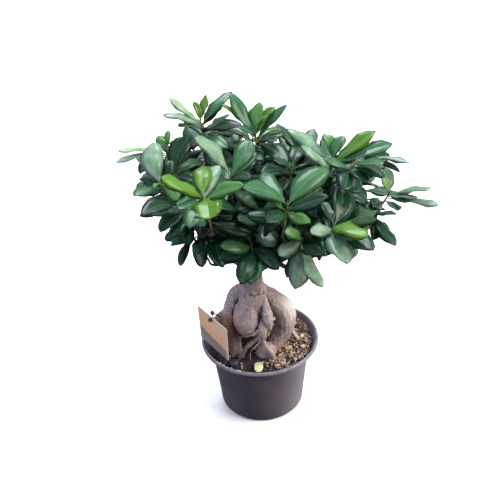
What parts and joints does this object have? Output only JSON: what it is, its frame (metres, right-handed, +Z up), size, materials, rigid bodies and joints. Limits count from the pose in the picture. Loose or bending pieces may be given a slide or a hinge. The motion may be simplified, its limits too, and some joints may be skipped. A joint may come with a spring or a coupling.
{
  "type": "bonsai tree in a nursery pot",
  "caption": "Small ficus bonsai with swollen arching roots and a broad leafy crown, in a round plastic nursery pot of soil with a plain plant tag.",
  "frame": {"origin": "middle of the pot's base, on the surface it stands on", "axes": "+Z up, the tree's best side and its front roots face -Y, +X to the viewer's right"},
  "size_m": [0.3335, 0.329, 0.4136],
  "materials": {
    "pot": "satin injection-moulded polypropylene",
    "soil": "damp crumbly peat with bark chips and pumice gravel",
    "stone": "water-worn dark slate pebble",
    "bark": "smooth pinkish grey ficus bark with lenticels",
    "leaf": "glossy leathery evergreen leaf",
    "tag": "printed coated card",
    "tie": "dark paper-covered wire",
    "fallen_leaf": "dry yellowed leaf"
  },
  "bodies": {
    "root": {"pot": "pot", "soil": "soil", "stone": "stone", "trunk": "bark", "tag": "tag", "tag_tie": "tie", "fallen_leaf": "fallen_leaf", "spray_top_left": "leaf", "spray_top_middle": "leaf", "spray_middle_left": "leaf", "spray_left_bright": "leaf", "spray_left": "leaf", "spray_left_back": "leaf", "spray_left_inner": "leaf", "spray_left_low": "leaf", "spray_left_bottom": "leaf", "spray_bottom_left": "leaf", "spray_bottom_middle": "leaf", "spray_centre": "leaf", "spray_centre_bottom": "leaf", "spray_right_low": "leaf", "spray_right_top": "leaf", "spray_right_middle": "leaf", "spray_right": "leaf", "spray_right_back": "leaf", "spray_right_bottom": "leaf", "spray_middle_dark": "leaf", "spray_back_far_left": "leaf", "spray_back_left": "leaf", "spray_back": "leaf", "spray_back_right": "leaf", "spray_back_far_right": "leaf", "spray_far_right": "leaf", "spray_far_left": "leaf", "spray_top_back_left": "leaf", "spray_top_back": "leaf", "spray_top_back_right": "leaf", "spray_low_back_left": "leaf", "spray_low_back": "leaf", "spray_low_back_right": "leaf", "spray_low_right": "leaf", "spray_inner_left": "leaf", "spray_inner_front": "leaf", "spray_inner_middle": "leaf", "spray_inner_right": "leaf", "spray_inner_low": "leaf"}
  },
  "joints": []
}
